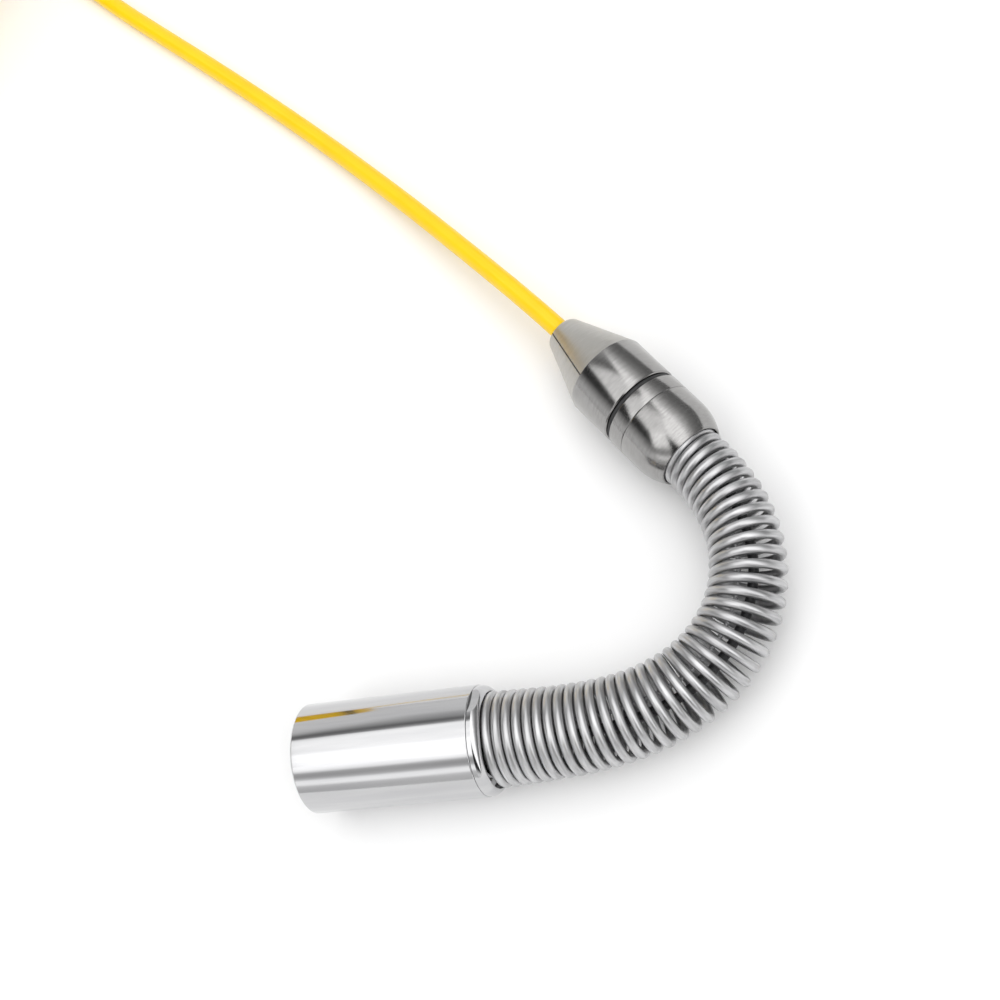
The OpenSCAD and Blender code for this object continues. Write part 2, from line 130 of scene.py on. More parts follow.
def state(turn):
    inside = limit(turn, 0, TURNS) * STEPS
    i = min(int(inside), TURNS * STEPS - 1)
    a, b = centre_line[i], centre_line[i + 1]
    x, y, heading = (p + (q - p) * (inside - i) for p, q in zip(a, b))
    over = (turn - limit(turn, 0, TURNS)) * PITCH
    return x + over * math.cos(heading), y + over * math.sin(heading), heading


head_x, head_y, head_heading = state(TURNS)
print("spring ends at", round(head_x, 2), round(head_y, 2), "mm, turned", BEND, "degrees")

# %% [markdown]
# ## From the connector's own axes to the frame
# The origin lies under the middle of the box round the head, spring and connector. That
# middle is worked out from the outline again, so the new pieces land on the solids.

# %% Placing
outline = []
for quarter in range(4 * TURNS + 1):
    x, y, heading = state(quarter / 4)
    for side in (-1, 1):
        r = side * (mid_r(quarter / 4) + WIRE_R)
        outline.append((x - r * math.sin(heading), y + r * math.cos(heading)))
for along in (BARREL_X, FRONT_X):
    for side in (-HEAD_R, HEAD_R):
        c, s = math.cos(head_heading), math.sin(head_heading)
        outline.append((head_x + along * c - side * s, head_y + along * s + side * c))
outline += [(TIP_X, -CONN_R), (TIP_X, CONN_R)]
mid_x = (min(p[0] for p in outline) + max(p[0] for p in outline)) / 2
mid_y = (min(p[1] for p in outline) + max(p[1] for p in outline)) / 2


def place(x, y, z):
    return Vector(((x - mid_x) * MM, (y - mid_y) * MM, z * MM))


def beside(turn, side, up):
    x, y, heading = state(turn)
    return place(x - side * math.sin(heading), y + side * math.cos(heading), axis_z(turn) + up)


def wire_point(turn):
    t = math.radians(360 * turn + PHASE)
    return beside(turn, mid_r(turn) * math.cos(t), mid_r(turn) * math.sin(t))


scale_mm = Matrix.Scale(MM, 4)
connector_place = Matrix.Translation(place(0, 0, CONN_R)) @ scale_mm
head_place = (
    Matrix.Translation(place(head_x, head_y, HEAD_R))
    @ Matrix.Rotation(head_heading, 4, "Z")
    @ scale_mm
)
COIL_X, COIL_Y, PLUG_X, PLUG_Y, PLUG_R = -366.0, -77.0, -2.0, -18.0, 8.2
coil_place = Matrix.Translation(place(COIL_X, COIL_Y, 0)) @ scale_mm
plug_place = Matrix.Translation(place(COIL_X + PLUG_X, COIL_Y + PLUG_Y, PLUG_R)) @ scale_mm
print("middle of the outline:", round(mid_x, 3), round(mid_y, 3))

# %% [markdown]
# ## Materials
# One pattern serves every finish, so it is a node group that is built once. It is noise
# squeezed between two limits. Stretched along one direction it gives brushed or turned lines,
# and unstretched it gives fine grain. It gives out only a value, and the shader stays in each
# material.

# %% Pattern group
def new_group(name, inputs, outputs):
    tree = bpy.data.node_groups.new(name, "ShaderNodeTree")
    for label, kind, value in inputs:
        made = tree.interface.new_socket(label, in_out="INPUT", socket_type=kind)
        if value is not None:
            made.default_value = value
    for label, kind in outputs:
        tree.interface.new_socket(label, in_out="OUTPUT", socket_type=kind)
    return tree, tree.nodes.new("NodeGroupInput"), tree.nodes.new("NodeGroupOutput")


def grain_group():
    tree, given, out = new_group(
        "fine_grain",
        [
            ("Vector", "NodeSocketVector", None),
            ("Scale", "NodeSocketFloat", 400.0),
            ("Stretch", "NodeSocketVector", (1.0, 1.0, 1.0)),
            ("Low", "NodeSocketFloat", 0.0),
            ("High", "NodeSocketFloat", 1.0),
        ],
        [("Value", "NodeSocketFloat")],
    )
    nodes, links = tree.nodes, tree.links
    stretch = nodes.new("ShaderNodeVectorMath")
    stretch.operation = "MULTIPLY"
    noise = nodes.new("ShaderNodeTexNoise")
    noise.inputs["Detail"].default_value = 4.0
    spread = nodes.new("ShaderNodeMapRange")
    spread.inputs["From Min"].default_value = 0.3
    spread.inputs["From Max"].default_value = 0.7
    links.new(given.outputs["Vector"], stretch.inputs[0])
    links.new(given.outputs["Stretch"], stretch.inputs[1])
    links.new(stretch.outputs["Vector"], noise.inputs["Vector"])
    links.new(given.outputs["Scale"], noise.inputs["Scale"])
    links.new(noise.outputs["Fac"], spread.inputs["Value"])
    links.new(given.outputs["Low"], spread.inputs["To Min"])
    links.new(given.outputs["High"], spread.inputs["To Max"])
    links.new(spread.outputs["Result"], out.inputs["Value"])
    return tree


fine_grain = grain_group()
print("pattern group:", fine_grain.name)

# %% [markdown]
# ## A finish from one description
# A finish reads the piece's own Object coordinates, turned by an angle where the piece lies
# askew. The spring's finish reads a stored attribute instead. Grain mixes two near colours,
# moves the roughness, and lifts the surface a little, because a single flat colour never
# looks like a real surface.

# %% Finish maker
ROUGH_GRAIN, BUMP_GRAIN = 1.7, 3


def finish_of(
    name,
    colours,
    rough=(0.3, 0.4),
    metallic=0.0,
    scale=300.0,
    stretch=(1, 1, 1),
    bump=0.0,
    bump_scale=None,
    bump_stretch=None,
    turn=0.0,
    attribute=None,
    **constants,
):
    made = bpy.data.materials.new(name)
    made.use_nodes = True
    nodes, links = made.node_tree.nodes, made.node_tree.links
    shader = nodes["Principled BSDF"]
    shader.inputs["Metallic"].default_value = metallic
    for label, value in constants.items():
        shader.inputs[label.replace("_", " ")].default_value = value
    if attribute:
        source = nodes.new("ShaderNodeAttribute")
        source.attribute_name = attribute
        where = source.outputs["Vector"]
    else:
        source = nodes.new("ShaderNodeTexCoord")
        mapping = nodes.new("ShaderNodeMapping")
        mapping.inputs["Rotation"].default_value = (0.0, 0.0, turn)
        links.new(source.outputs["Object"], mapping.inputs["Vector"])
        where = mapping.outputs["Vector"]

    def grain(low, high, size, along):
        node = nodes.new("ShaderNodeGroup")
        node.node_tree = fine_grain
        node.inputs["Scale"].default_value = size
        node.inputs["Stretch"].default_value = along
        node.inputs["Low"].default_value = low
        node.inputs["High"].default_value = high
        links.new(where, node.inputs["Vector"])
        return node.outputs["Value"]

    mix = nodes.new("ShaderNodeMix")
    mix.data_type = "RGBA"
    mix.inputs["A"].default_value = (*colours[0], 1.0)
    mix.inputs["B"].default_value = (*colours[1], 1.0)
    links.new(grain(0.0, 1.0, scale, stretch), mix.inputs["Factor"])
    links.new(mix.outputs["Result"], shader.inputs["Base Color"])
    links.new(grain(rough[0], rough[1], scale * ROUGH_GRAIN, stretch), shader.inputs["Roughness"])
    if bump:
        lift = nodes.new("ShaderNodeBump")
        lift.inputs["Strength"].default_value = 1.0
        lift.inputs["Distance"].default_value = bump * MM
        high = grain(0.0, 1.0, bump_scale or scale * BUMP_GRAIN, bump_stretch or stretch)
        links.new(high, lift.inputs["Height"])
        links.new(lift.outputs["Normal"], shader.inputs["Normal"])
    return made


print("finish maker:", finish_of.__name__)

# %% [markdown]
# ## Metal finishes
# The head is polished steel. The connector's parts are darker and carry fine lines round
# them, as a lathe tool leaves them. The spring's wire is duller and streaked along its length.

# %% Metal finishes
STEEL = ((0.50, 0.50, 0.51), (0.57, 0.57, 0.575))
DARK_STEEL = ((0.30, 0.295, 0.29), (0.36, 0.355, 0.35))
polished_head = finish_of(
    "polished_head", STEEL, (0.07, 0.13), 1.0, 60.0, (0.6, 9, 9), turn=-head_heading,
    bump=0.0012, bump_scale=90.0, bump_stretch=(0.3, 14, 14),
)
polished_ring = finish_of(
    "polished_ring", DARK_STEEL, (0.12, 0.2), 1.0, 500.0, (6, 1, 1),
    bump=0.003, bump_stretch=(12, 1, 1),
)
turned_steel = finish_of(
    "turned_steel", DARK_STEEL, (0.14, 0.2), 1.0, 300.0, (10, 1, 1),
    bump=0.002, bump_stretch=(9, 1, 1),
)
satin_cone = finish_of(
    "satin_cone", ((0.42, 0.41, 0.385), (0.48, 0.47, 0.45)), (0.3, 0.38), 1.0, 300.0, (10, 1, 1),
    bump=0.002, bump_stretch=(9, 1, 1),
)
spring_steel = finish_of(
    "spring_steel", ((0.40, 0.40, 0.405), (0.62, 0.62, 0.625)), (0.3, 0.44), 1.0, 1.0, (1, 1, 1),
    bump=0.004, bump_scale=2.2, attribute="grain",
)
inner_steel = finish_of(
    "inner_steel", ((0.4, 0.4, 0.41), (0.52, 0.52, 0.53)), (0.25, 0.35), 1.0, 400.0, (6, 1, 1),
    bump=0.001,
)
metal_finishes = len(bpy.data.materials)
print("metal finishes:", metal_finishes)

# %% [markdown]
# ## Finishes for rubber, plastic, boards and glass
# The rod has a yellow plastic skin. Rubber and plastic differ mostly in how rough they are.
# The window's glass lets light through, and the lens is dark violet with a clear coat.

# %% Other finishes
rod_yellow = finish_of(
    "rod_yellow", ((0.98, 0.62, 0.003), (1.0, 0.67, 0.006)), (0.3, 0.4), 0.0, 90.0, bump=0.004,
    bump_scale=900.0, Specular_IOR_Level=0.4,
)
black_rubber = finish_of(
    "black_rubber", ((0.012, 0.012, 0.013), (0.03, 0.03, 0.031)), (0.42, 0.6), 0.0, 700.0,
    bump=0.006,
)
cable_black = finish_of(
    "cable_black", ((0.01, 0.01, 0.011), (0.022, 0.022, 0.024)), (0.35, 0.5), 0.0, 500.0, bump=0.003
)
black_plastic = finish_of(
    "black_plastic", ((0.015, 0.015, 0.016), (0.03, 0.03, 0.032)), (0.3, 0.45), 0.0, 900.0,
    bump=0.003,
)
black_metal = finish_of(
    "black_metal", ((0.02, 0.02, 0.022), (0.035, 0.035, 0.038)), (0.25, 0.35), 0.6, 900.0,
    bump=0.002,
)
board_green = finish_of(
    "board_green", ((0.008, 0.10, 0.04), (0.02, 0.16, 0.07)), (0.25, 0.4), 0.0, 800.0, bump=0.004
)
gold_contact = finish_of(
    "gold_contact", ((0.72, 0.50, 0.16), (0.83, 0.62, 0.25)), (0.18, 0.28), 1.0, 800.0, bump=0.001
)
pale_insulator = finish_of(
    "pale_insulator", ((0.62, 0.58, 0.48), (0.72, 0.69, 0.6)), (0.4, 0.5), 0.0, 600.0, bump=0.003
)
lamp_body = finish_of(
    "lamp_body", ((0.82, 0.82, 0.78), (0.9, 0.9, 0.87)), (0.3, 0.4), 0.0, 900.0, bump=0.001
)
lamp_phosphor = finish_of(
    "lamp_phosphor", ((0.85, 0.62, 0.08), (0.95, 0.75, 0.18)), (0.35, 0.5), 0.0, 1500.0, bump=0.002
)
tie_weave = finish_of(
    "tie_weave", ((0.008, 0.008, 0.009), (0.05, 0.05, 0.052)), (0.7, 0.9), 0.0, 1800.0, bump=0.05,
    Sheen_Weight=0.3,
)
window_glass = finish_of(
    "window_glass", ((0.92, 0.96, 0.97), (0.97, 0.99, 1.0)), (0.0, 0.03), 0.0, 200.0,
    Transmission_Weight=1.0, IOR=1.5,
)
lens_glass = finish_of(
    "lens_glass", ((0.05, 0.03, 0.12), (0.10, 0.05, 0.2)), (0.02, 0.06), 0.0, 100.0,
    Coat_Weight=1.0, Coat_Roughness=0.02, IOR=1.7,
)
print("other finishes:", len(bpy.data.materials) - metal_finishes)

# %% [markdown]
# ## Helpers for turned parts
# A turned part is an outline of radius and place along the axis, spun a full turn round X.
# The spin merges its last ring with its first. Sharp corners get a small bevel that catches
# the light, and only edges that are still sharp stay sharp in the shading.

# %% Turned parts
SPIN_STEPS = 128
SHARP = math.radians(28)


def spun(points, steps=SPIN_STEPS):
    bm = bmesh.new()
    verts = [bm.verts.new((x, 0.0, r)) for r, x in points]
    edges = [bm.edges.new(pair) for pair in zip(verts, verts[1:] + verts[:1])]
    bmesh.ops.spin(
        bm, geom=verts + edges, cent=(0, 0, 0), axis=(1, 0, 0), angle=math.tau, steps=steps,
        use_merge=True, use_duplicate=False,
    )
    bmesh.ops.remove_doubles(bm, verts=bm.verts, dist=1e-4)
    bmesh.ops.dissolve_degenerate(bm, dist=1e-5, edges=bm.edges)
    bmesh.ops.recalc_face_normals(bm, faces=bm.faces)
    return bm


def soften(bm, width, segments=2):
    edges = [e for e in bm.edges if len(e.link_faces) == 2 and e.calc_face_angle(0) > SHARP]
    bmesh.ops.bevel(
        bm, geom=edges, offset=width, offset_type="OFFSET", segments=segments, profile=0.5,
        affect="EDGES", clamp_overlap=True, material=-1,
    )
    return bm


def piece(name, bm, placing, finishes, body, stands_for=(), sharp=SHARP):
    for face in bm.faces:
        face.smooth = True
    for edge in bm.edges:
        edge.smooth = len(edge.link_faces) == 2 and edge.calc_face_angle(0) < sharp
    mesh = bpy.data.meshes.new(name)
    bm.to_mesh(mesh)
    bm.free()
    mesh.transform(placing)
    obj = bpy.data.objects.new(name, mesh)
    scene.collection.objects.link(obj)
    for finish in finishes if isinstance(finishes, (list, tuple)) else [finishes]:
        mesh.materials.append(finish)
    if body:
        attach(obj, body)
    if stands_for:
        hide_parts(*stands_for)
    print(name, len(mesh.polygons), "faces")
    return obj


def arc(cr, cx, r, a0, a1, n):
    steps = [math.radians(a0 + (a1 - a0) * i / n) for i in range(n + 1)]
    return [(cr + r * math.cos(a), cx + r * math.sin(a)) for a in steps]


def smooth_step(t):
    t = limit(t, 0.0, 1.0)
    return t * t * (3 - 2 * t)


# %% [markdown]
# ## The push rod, a cord of real length
# The rod is one smooth line: out of the holder, down to the floor, and away to the coil in
# which the rest is stored. The coil is wound in columns, up one and down the next, and the
# last turn leads to the plug in the middle. A poly curve with a round bevel follows it. At the
# start of each column two turns share one place for a short way, which a real coil can't do.

# %% Push rod
rod_route = [
    (SHOULDER_X - 1.3, 0, CONN_R), (TIP_X - 1, 0, CONN_R), (-66, -0.6, 10.5), (-82, -1.5, 9.2),
    (-98, -2.5, 7.6), (-114, -3.6, 6), (-130, -5, 4.6), (-146, -6.6, 3.5), (-162, -8.5, 2.9),
    (-178, -10.7, 2.7), (-194, -13.1, 2.6), (-212, -16, 2.6), (-232, -19.4, 2.6),
    (-254, -22.9, 2.6), (-278, -25.4, 2.8), (-301, -24, 3.1), (-322, -18.6, 3.4),
    (-338, -13.4, 3.6), (-352, -10.2, 3.6),
]
tail_route = [
    (-6, 51.6, 3.6), (-20, 46, 3.5), (-32, 34.5, 3), (-37.5, 18.5, 2.7), (-35.5, 3, 2.9),
    (-28, -9, 4.2), (-16, -16.2, 6.4), (-4, -18, 8.1), (2, -18, 8.2),
]
COLUMNS, LAYERS, LAY_STEP = 4, 13, 2 * ROD_R
COIL_MID_R, TIE_T, TURN_POINTS = 59.8, 1.0, 32
STEP_ANGLE, SIDE_LEAD = math.radians(40), math.radians(60)
outer_r = COIL_MID_R + (COLUMNS / 2 - 0.5) * LAY_STEP
coil_turns = COLUMNS * LAYERS


def smooth_route(points, cuts):
    found = []
    for i in range(len(points) - 1):
        a, b, c, d = (
            Vector(points[j]) for j in (max(i - 1, 0), i, i + 1, min(i + 2, len(points) - 1))
        )
        for k in range(cuts):
            t = k / cuts
            found.append(
                0.5 * (2 * b + (c - a) * t + (2 * a - 5 * b + 4 * c - d) * t * t
                       + (3 * b - a - 3 * c + d) * t ** 3)
            )
    return found + [Vector(points[-1])]


def level(k):
    column, j = divmod(k, LAYERS)
    return j if column % 2 == 0 else LAYERS - 1 - j


def coil_point(turn):
    """Where a column starts, the rod runs through its own next turn for a short way."""
    r, z = outer_r, TIE_T + ROD_R
    for c in range(1, COLUMNS):
        r -= LAY_STEP * smooth_step((math.tau * (turn - LAYERS * c) + SIDE_LEAD) / STEP_ANGLE)
    for k in range(1, coil_turns):
        z += LAY_STEP * (level(k) - level(k - 1)) * smooth_step(math.tau * (turn - k) / STEP_ANGLE)
    a = math.radians(90) + math.tau * turn
    return Vector((r * math.cos(a), r * math.sin(a), z))


coil_line = [coil_point(i / TURN_POINTS) for i in range(1, coil_turns * TURN_POINTS)]
rod_line = [place(*p) for p in smooth_route(rod_route, 4)]
rod_line += [coil_place @ p for p in coil_line]
rod_line += [coil_place @ p for p in smooth_route(tail_route, 4)]
rod_curve = bpy.data.curves.new("push_rod_line", "CURVE")
rod_curve.dimensions = "3D"
rod_curve.bevel_depth = ROD_R * MM
rod_curve.bevel_resolution = 4
rod_curve.use_fill_caps = True
spline = rod_curve.splines.new("POLY")
spline.points.add(len(rod_line) - 1)
for point, place_at in zip(spline.points, rod_line):
    point.co = (*place_at, 1.0)
spline.use_smooth = True
rod_curve.materials.append(rod_yellow)
rod = bpy.data.objects.new("push_rod_whole", rod_curve)
scene.collection.objects.link(rod)
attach(rod, "rod_side")
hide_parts("push_rod", "push_rod_coil", "rod_tail")

# %% [markdown]
# ## The coil's ties
# Three woven straps hold the coil. Each is a strip that runs round the coil's section: an
# outline of eight corners is laid down, its corners are rounded, the wire outline is
# extruded sideways to the strap's width, and Solidify gives it a thickness.

# %% Coil ties
tie_angles = (30.5, 150.5, 270.5)
coil_in, coil_out = COIL_MID_R - COLUMNS * ROD_R, COIL_MID_R + COLUMNS * ROD_R
coil_top = TIE_T + LAYERS * LAY_STEP


def tie_mesh(width=12.0, corner=3.0):
    bm = bmesh.new()
    low, high = TIE_T * 0.5, coil_top + TIE_T * 0.5
    a, b = coil_in - TIE_T * 0.5, coil_out + TIE_T * 0.5
    ring = [(a + corner, low), (b - corner, low), (b, low + corner), (b, high - corner),
            (b - corner, high), (a + corner, high), (a, high - corner), (a, low + corner)]
    verts = [bm.verts.new((r, -width / 2, z)) for r, z in ring]
    for pair in zip(verts, verts[1:] + verts[:1]):
        bm.edges.new(pair)
    bmesh.ops.bevel(
        bm, geom=bm.verts[:], offset=1.3, offset_type="OFFSET", segments=4, profile=0.5,
        affect="VERTICES", material=-1,
    )
    up = bmesh.ops.extrude_edge_only(bm, edges=bm.edges[:])
    moved = [v for v in up["geom"] if isinstance(v, bmesh.types.BMVert)]
    bmesh.ops.translate(bm, verts=moved, vec=(0, width, 0))
    bmesh.ops.recalc_face_normals(bm, faces=bm.faces)
    return bm


for number, angle in enumerate(tie_angles, 1):
    turned = coil_place @ Matrix.Rotation(math.radians(angle), 4, "Z")
    tie = piece(f"coil_tie_{number}", tie_mesh(), turned, tie_weave, "rod_side", ["coil_ties"])
    wall = tie.modifiers.new("strap_thickness", "SOLIDIFY")
    wall.thickness, wall.offset = 0.9 * TIE_T * MM, 0.0

# %% [markdown]
# ## The plug
# The rod ends in a round plug that lies inside the coil. Its rubber boot tapers onto the
# rod and has grip grooves, its shell is turned steel, and its nut is fluted so that a wet
# hand can turn it.

# %% Plug
BOOT_LEN, SHELL_LEN, NUT_LEN, FLUTE_EVERY, FLUTE_DEPTH = 14.0, 14.0, 16.0, 4, 0.32
nut_x = BOOT_LEN + SHELL_LEN - 3
nut_end = nut_x + NUT_LEN
contacts_x = nut_end - 9.5
boot_outline = [(ROD_R + 0.05, 0.0), (ROD_R + 0.9, 0.0), (ROD_R + 1.2, 0.5)]
for groove in range(4):
    x0 = 2.2 + 2.3 * groove
    r0 = ROD_R + 1.35 + 0.42 * groove
    boot_outline += [(r0, x0 - 0.3), (r0 - 0.7, x0), (r0 - 0.7, x0 + 0.8), (r0 + 0.3, x0 + 1.1)]
boot_outline += [(5.6, BOOT_LEN - 2.2), (5.6, BOOT_LEN), (ROD_R + 0.05, BOOT_LEN)]
boot = piece("plug_boot_ribbed", soften(spun(boot_outline, 64), 0.15), plug_place, black_rubber,
             "rod_side", ["plug_boot"])
shell_outline = [
    (5, BOOT_LEN), (6.8, BOOT_LEN), (7.2, BOOT_LEN + 0.6), (7.2, BOOT_LEN + 2.2),
    (6.9, BOOT_LEN + 2.4), (6.9, BOOT_LEN + 2.8), (7.2, BOOT_LEN + 3.0), (7.2, BOOT_LEN + 5),
    (PLUG_R, BOOT_LEN + 6), (PLUG_R, nut_x - 0.6), (6, nut_x - 0.6), (6, contacts_x - 1),
    (5, contacts_x - 1),
]
shell = piece("plug_shell_turned", soften(spun(shell_outline, 96), 0.12), plug_place, inner_steel,
              "rod_side", ["plug_shell"])
nut_outline = [
    (6.05, nut_x), (PLUG_R - 0.6, nut_x), (PLUG_R - 0.2, nut_x + 0.4), (PLUG_R - 0.2, nut_x + 1.5),
    (PLUG_R - 0.2, nut_end - 1.5), (PLUG_R - 0.2, nut_end - 0.4), (PLUG_R - 0.6, nut_end),
    (6.6, nut_end), (6.6, contacts_x - 2), (6.05, contacts_x - 2),
]
nut_bm = spun(nut_outline, 96)
flutes = [
    f for f in nut_bm.faces
    if abs(f.calc_center_median().x - (nut_x + nut_end) / 2) < 1
    and f.calc_center_median().yz.length > PLUG_R - 1
]
flutes.sort(key=lambda f: math.atan2(f.calc_center_median().z, f.calc_center_median().y))
cut_faces = [f for i, f in enumerate(flutes) if i % FLUTE_EVERY == 0]
bmesh.ops.inset_individual(nut_bm, faces=cut_faces, thickness=0.06, depth=-FLUTE_DEPTH)
nut = piece("plug_nut_fluted", soften(nut_bm, 0.05, 1), plug_place, inner_steel, "plug_nut",
            ["plug_nut"])
for node_name, finish in (("plug_insert", pale_insulator), ("plug_pins", gold_contact)):
    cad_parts[node_name].data.materials.clear()
    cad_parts[node_name].data.materials.append(finish)

# %% [markdown]
# ## The connector
# Three turned parts meet here: the spring's cup, the coupling ring and the rod holder. The cup
# comes first. It is turned in a lathe, its bore takes the spring's first turns, and its rounded
# nose is one large arc.

# %% Spring cup
MOUTH_R, NOSE_LEN, CONE_TIP_R, CUP_BORE = 8.85, 7.5, 4.65, 8.45
nose_drop = CONN_R - MOUTH_R
nose_r = (NOSE_LEN ** 2 + nose_drop ** 2) / (2 * nose_drop)
nose_angle = math.degrees(math.asin(NOSE_LEN / nose_r))
cup_outline = [(7.6, SEAM_X), (CONN_R - 0.12, SEAM_X), (CONN_R, SEAM_X + 0.12)]
cup_outline += arc(CONN_R - nose_r, -NOSE_LEN, nose_r, 0, nose_angle, 20)
cup_outline += [(CUP_BORE, 0), (CUP_BORE, -5.5), (7.6, -5.5)]
piece("spring_cup_turned", soften(spun(cup_outline), 0.12, 3), connector_place, polished_ring,
      "camera_side", ["spring_cup"])

# %% [markdown]
# ## The coupling ring and its seal
# The ring is turned with small rounded edges. Its sleeve reaches into the holder. The black
# seal beside it is moulded rubber that bulges a little, so its outer edge is an arc.

# %% Coupling ring and seal
SLEEVE_X = SEAL_X - 6.6
ring_outline = [
    (6.45, SLEEVE_X), (7.9, SLEEVE_X), (7.9, RING_X + 0.05), (CONN_R - 0.12, RING_X + 0.05),
    (CONN_R, RING_X + 0.17), (CONN_R, SEAM_X - 0.17), (CONN_R - 0.12, SEAM_X - 0.05),
    (6.45, SEAM_X - 0.05),
]
piece("coupling_ring_turned", soften(spun(ring_outline), 0.05), connector_place, polished_ring,
      "coupling_ring", ["coupling_ring"])

seal_middle, seal_r = SEAL_X + 0.65, 0.6
seal_outline = [(7.95, SEAL_X + 0.02), (CONN_R - 0.8, SEAL_X + 0.02)]
seal_outline += arc(CONN_R - 0.9, seal_middle, seal_r, -80, 80, 8)
seal_outline += [(CONN_R - 0.8, RING_X - 0.01), (7.95, RING_X - 0.01)]
piece("joint_seal_round", spun(seal_outline), connector_place, black_rubber, "coupling_ring",
      ["joint_seal"])

# %% [markdown]
# ## The rod holder
# The holder is a cylinder with a long cone that ends where the rod comes out. The cone has a
# paler, duller finish than the cylinder. Two fine slits run along the cone, on opposite
# sides. A Boolean cuts them from thin blocks that are laid on the cone's slope.

# %% Rod holder
SLIT_LEN, SLIT_WIDTH, SLIT_TALL, SLIT_SIDES = 18.6, 0.4, 2.0, (119, 299)
SLIT_MIDDLE, SLIT_LIFT = 9.2, 0.5
holder_outline = [
    (ROD_R + 0.4, TIP_X), (CONE_TIP_R - 0.5, TIP_X), (CONE_TIP_R - 0.15, TIP_X + 0.15),
    (CONE_TIP_R + 0.2, TIP_X + 0.6), (CONN_R - 0.1, SHOULDER_X - 0.1), (CONN_R, SHOULDER_X + 0.2),
    (CONN_R, SEAL_X - 0.3), (CONN_R - 0.3, SEAL_X), (8, SEAL_X), (8, SHOULDER_X + 1.5),
    (ROD_R + 1.6, SHOULDER_X + 1.5), (ROD_R + 1.6, SHOULDER_X - 4.5),
    (ROD_R + 0.12, SHOULDER_X - 4.5), (ROD_R + 0.12, TIP_X + 0.35),
]
holder_bm = soften(spun(holder_outline, 192), 0.1, 3)
cone_slope = math.atan((CONN_R - CONE_TIP_R) / (SHOULDER_X - TIP_X))
for face in holder_bm.faces:
    face.material_index = 1 if face.calc_center_median().x < SHOULDER_X - 0.05 else 0
holder = piece("rod_holder_turned", holder_bm, Matrix.Identity(4), [turned_steel, satin_cone], None)
slit_bm = bmesh.new()
for side in SLIT_SIDES:
    made = bmesh.ops.create_cube(slit_bm, size=1.0)["verts"]
    lay = (
        Matrix.Rotation(math.radians(side - 90), 4, "X")
        @ Matrix.Translation((TIP_X, 0, CONE_TIP_R))
        @ Matrix.Rotation(-cone_slope, 4, "Y")
        @ Matrix.Translation((SLIT_MIDDLE, 0, SLIT_LIFT))
        @ Matrix.Diagonal((SLIT_LEN, SLIT_WIDTH, SLIT_TALL, 1.0))
    )
    bmesh.ops.transform(slit_bm, matrix=lay, verts=made)
slit_mesh = bpy.data.meshes.new("slit_cutter")
slit_bm.to_mesh(slit_mesh)
slit_bm.free()
cutter = bpy.data.objects.new("slit_cutter", slit_mesh)
scene.collection.objects.link(cutter)
cut = holder.modifiers.new("slits", "BOOLEAN")
cut.operation, cut.solver, cut.object = "DIFFERENCE", "EXACT", cutter
bpy.context.view_layer.update()
cut_mesh = bpy.data.meshes.new_from_object(
    holder.evaluated_get(bpy.context.evaluated_depsgraph_get())
)
holder.modifiers.clear()
holder.data = cut_mesh
cut_mesh.transform(connector_place)
bpy.data.objects.remove(cutter)
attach(holder, "rod_side")
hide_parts("rod_holder")
print("holder with slits:", len(cut_mesh.polygons), "faces")

# %% [markdown]
# ## The camera head
# The barrel is a plain polished cylinder that was turned in a lathe. The cap behind it has
# a rounded shoulder and two small spanner flats, each cut by a plane. A fine step at the
# seam between them shows as a thin line.

# %% Camera head
BARREL_R, OPENING_R, LIP = 11.6, 10.2, 1.8
barrel_outline = [
    (BARREL_R, BARREL_X), (HEAD_R - 0.12, BARREL_X), (HEAD_R, BARREL_X + 0.12),
    (HEAD_R, FRONT_X - 0.5), (HEAD_R - 0.5, FRONT_X), (OPENING_R + 0.8, FRONT_X),
    (OPENING_R, FRONT_X - 0.8), (OPENING_R, FRONT_X - LIP), (BARREL_R, FRONT_X - LIP),
]
piece("head_barrel_turned", soften(spun(barrel_outline, 192), 0.08, 2), head_place, polished_head,
      "head", ["head_barrel"])

CAP_ROUND, GLAND_R, SPIGOT_R, SPIGOT_LEN = 2.1, 3.4, 8.7, 5.0
CAP_STEP, FLAT_SHARE, FLAT_SIDES = 0.2, 0.94, (127, 307)
CAP_R = HEAD_R - CAP_STEP
recess_r = FRONT_MID_R + WIRE_R + 0.1
cap_outline = [(GLAND_R, -SPIGOT_LEN), (SPIGOT_R - 0.4, -SPIGOT_LEN), (SPIGOT_R, -SPIGOT_LEN + 0.4),
               (SPIGOT_R, CAP_FLOOR_X), (recess_r, CAP_FLOOR_X), (recess_r, CAP_X + 0.1)]
cap_outline += arc(CAP_R - CAP_ROUND, CAP_X + CAP_ROUND, CAP_ROUND, -72, 0, 14)
cap_outline += [(CAP_R, BARREL_X - 0.1), (CAP_R - 0.12, BARREL_X), (BARREL_R - 0.05, BARREL_X),
                (BARREL_R - 0.05, BARREL_X + 1.6), (BARREL_R - 1.5, BARREL_X + 1.6),
                (BARREL_R - 1.5, BARREL_X + 3.2), (BARREL_R - 0.05, BARREL_X + 3.2),
                (BARREL_R - 0.05, BARREL_X + 5.5), (GLAND_R, BARREL_X + 5.5)]
cap_bm = spun(cap_outline, 192)
for side in FLAT_SIDES:
    out = Vector((0, math.cos(math.radians(side)), math.sin(math.radians(side))))
    cut = bmesh.ops.bisect_plane(
        cap_bm, geom=cap_bm.verts[:] + cap_bm.edges[:] + cap_bm.faces[:], dist=1e-5,
        plane_co=out * HEAD_R * FLAT_SHARE, plane_no=out, clear_outer=True,
    )
    rim = [e for e in cut["geom_cut"] if isinstance(e, bmesh.types.BMEdge)]
    bmesh.ops.holes_fill(cap_bm, edges=rim, sides=0)
bmesh.ops.recalc_face_normals(cap_bm, faces=cap_bm.faces)
